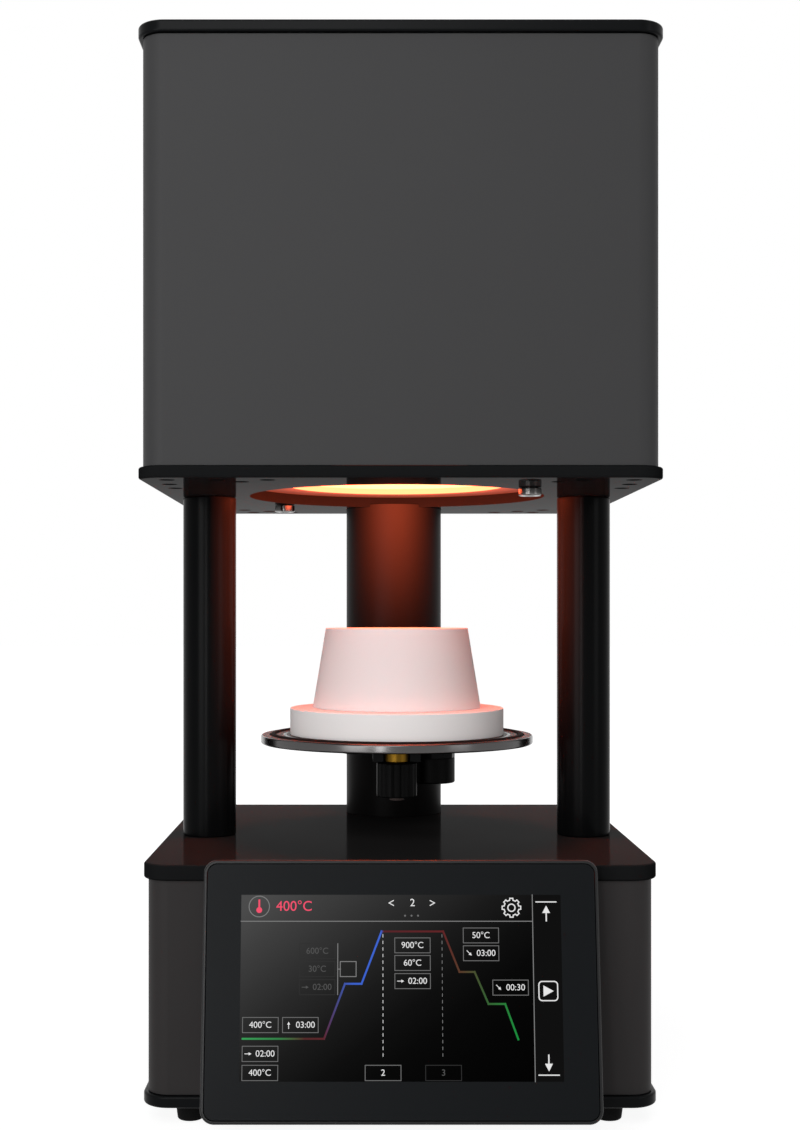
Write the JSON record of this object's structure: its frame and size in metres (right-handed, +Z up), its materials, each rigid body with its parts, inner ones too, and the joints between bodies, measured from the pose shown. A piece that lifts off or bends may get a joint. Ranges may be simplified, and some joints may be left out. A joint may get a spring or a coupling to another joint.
{
  "type": "dental lab furnace",
  "caption": "Bench furnace whose round table, with a white plinth, is lifted by a screw in the rear column into a chamber in the boxed hood; leaning touch display in front.",
  "frame": {"origin": "on the surface that the furnace stands on, at the middle of its width and depth", "axes": "+Z up; the front, with the display, faces -Y; +X to the right seen from the front"},
  "size_m": [0.26, 0.2984, 0.5483],
  "materials": {
    "hood_paint": "satin",
    "black_plate": "black anodised, glossy",
    "base_paint": "satin",
    "gloss_black": "gloss",
    "screen_glass": "polished, dark",
    "black_plastic": "matt",
    "foot_rubber": "matt",
    "table_steel": "turned, polished rim",
    "bare_steel": "satin",
    "bare_aluminium": "satin",
    "bush_brass": "turned",
    "white_ceramic": "matt",
    "fibre_insulation": "fibrous, matt",
    "hot_wire": "oxidised",
    "circuit_board": "solder mask",
    "lacquered_copper": "lacquered winding",
    "hose_silicone": "translucent",
    "lead_silicone": "matt",
    "fuse_glass": "clear"
  },
  "bodies": {
    "base": {"base_bottom_plate": "black_plate", "base_shell": "base_paint", "base_top_plate": "black_plate", "foot_front_left": "foot_rubber", "foot_front_right": "foot_rubber", "foot_rear_left": "foot_rubber", "foot_rear_right": "foot_rubber", "column_left": "gloss_black", "column_right": "gloss_black", "rear_column": "gloss_black", "hood_bottom_plate": "black_plate", "hood_shell": "hood_paint", "hood_top_plate": "black_plate", "flange_screw_front": "bare_steel", "flange_screw_rear": "bare_steel", "seal_flange": "table_steel", "muffle_collar": "fibre_insulation", "muffle_wall": "fibre_insulation", "muffle_roof": "fibre_insulation", "muffle_can": "bare_steel", "heating_coil": "hot_wire", "thermocouple": "white_ceramic", "heater_terminal": "white_ceramic", "vacuum_port": "bush_brass", "vacuum_hose": "hose_silicone", "heater_leads": "lead_silicone", "spindle_lower_bearing": "bush_brass", "spindle_upper_bearing": "bush_brass", "lift_motor": "base_paint", "display_frame": "gloss_black", "display_glass": "screen_glass", "lcd_panel": "bare_steel", "display_board": "circuit_board", "display_housing": "black_plastic", "fan_frame": "black_plastic", "mains_inlet": "black_plastic", "pump_socket": "black_plastic", "vacuum_nipple": "bare_steel", "vacuum_valve": "bush_brass", "power_transformer": "lacquered_copper", "relay_heat_sink": "bare_aluminium", "heater_relay": "black_plastic", "control_board": "circuit_board"},
    "lift": {"spindle_nut": "bush_brass", "lift_arm": "black_plate", "arm_boss": "black_plastic", "table_disc": "table_steel", "table_seal": "foot_rubber", "table_bush": "bush_brass", "plinth_base": "white_ceramic", "plinth_cone": "white_ceramic"},
    "knob": {"clamp_knob": "black_plastic"},
    "spindle": {"lift_spindle": "bare_steel", "shaft_coupling": "bare_aluminium"},
    "fan": {"fan_impeller": "black_plastic"},
    "rocker": {"mains_rocker": "black_plastic"},
    "drawer": {"fuse_drawer": "black_plastic", "fuse": "fuse_glass"}
  },
  "joints": [
    {"name": "table_lift", "type": "slide", "parent": "base", "child": "lift", "axis": [0, 0, 1], "range_m": [-0.018, 0.1392]},
    {"name": "screw_turn", "type": "hinge", "parent": "base", "child": "spindle", "pos_m": [0, 0.09447, 0.2], "axis": [0, 0, 1], "range_deg": [-660, 5025]},
    {"name": "knob_turn", "type": "hinge", "parent": "lift", "child": "knob", "pos_m": [0, -0.01353, 0.165], "axis": [0, 0, 1], "range_deg": [0, 180]},
    {"name": "fan_spin", "type": "hinge", "parent": "base", "child": "fan", "pos_m": [0.072, 0.1213, 0.07085], "axis": [0, 1, 0], "continuous": true},
    {"name": "rocker_tip", "type": "hinge", "parent": "base", "child": "rocker", "pos_m": [-0.085, 0.12897, 0.08735], "axis": [1, 0, 0], "range_deg": [-22, 0]},
    {"name": "fuse_slide", "type": "slide", "parent": "base", "child": "drawer", "axis": [0, 1, 0], "range_m": [0, 0.012]}
  ],
  "couplings": [
    {"joint": "screw_turn", "follows": "table_lift", "rad_per_m": 628.32}
  ]
}
